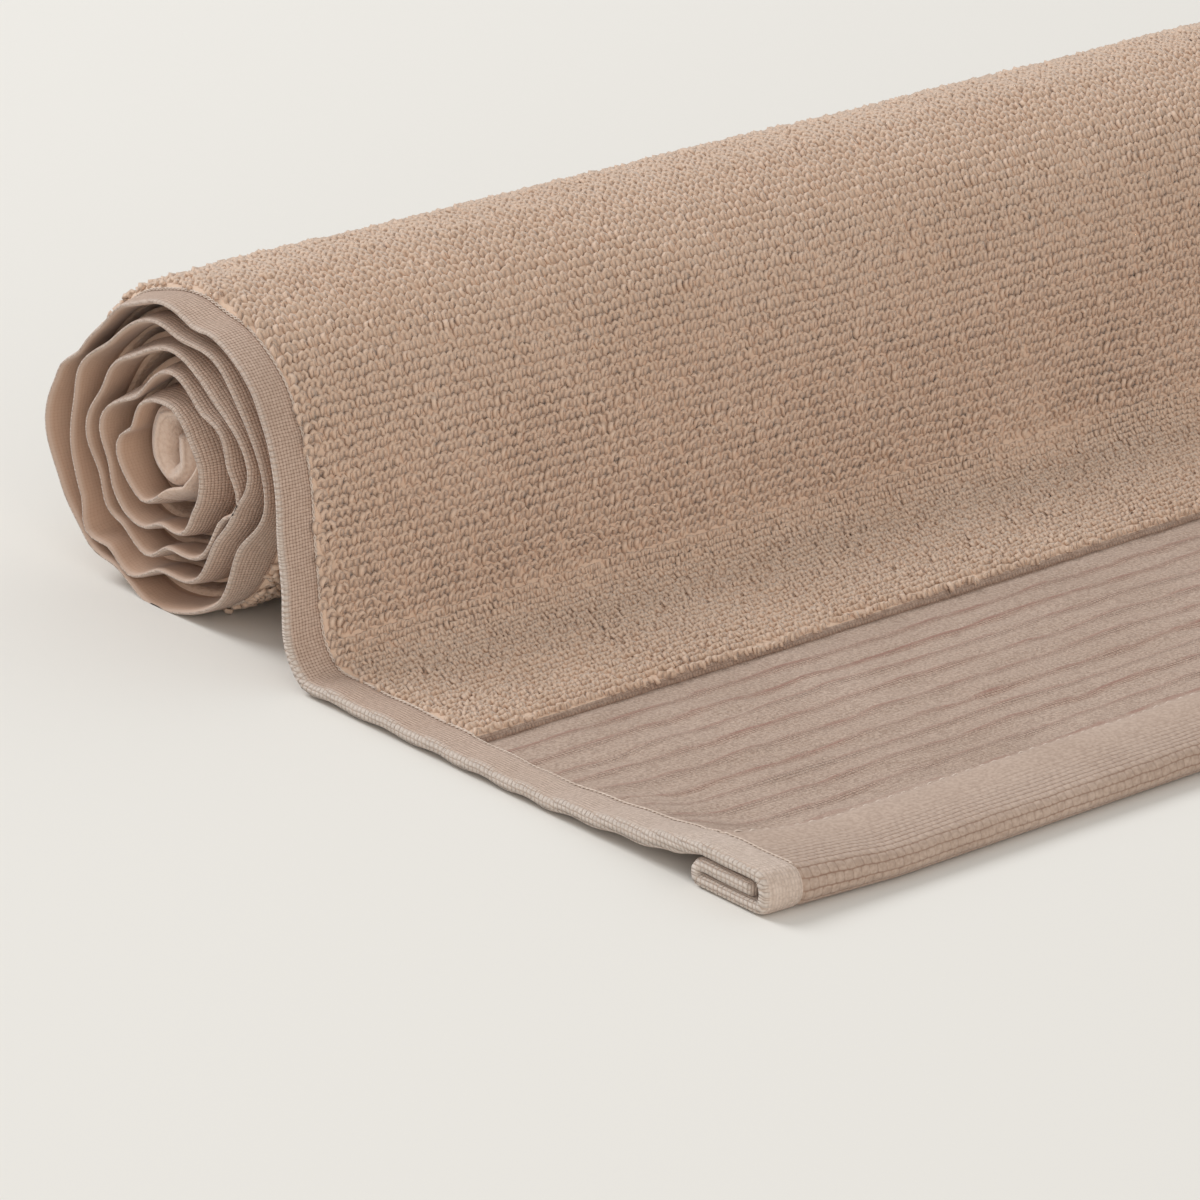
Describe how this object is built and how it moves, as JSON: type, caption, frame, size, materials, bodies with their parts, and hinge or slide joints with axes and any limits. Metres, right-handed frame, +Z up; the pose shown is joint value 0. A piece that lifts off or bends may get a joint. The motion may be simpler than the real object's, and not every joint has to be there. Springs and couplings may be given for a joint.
{
  "type": "rolled face towel",
  "caption": "Terry face towel wound into a roll, lying on its side with its free end hanging over the front and running out flat, ribbed border and folded end hem.",
  "frame": {"origin": "centre of the towel's bounding box, on the surface it rests on", "axes": "+X along the roll, from its scalloped left end to its right end; the free end points to -Y; +Z up"},
  "size_m": [0.5106, 0.2428, 0.07],
  "materials": {
    "terry": "matt cotton terry with a plain woven side hem and a ribbed woven border"
  },
  "bodies": {
    "root": {"towel": "terry"}
  },
  "joints": []
}
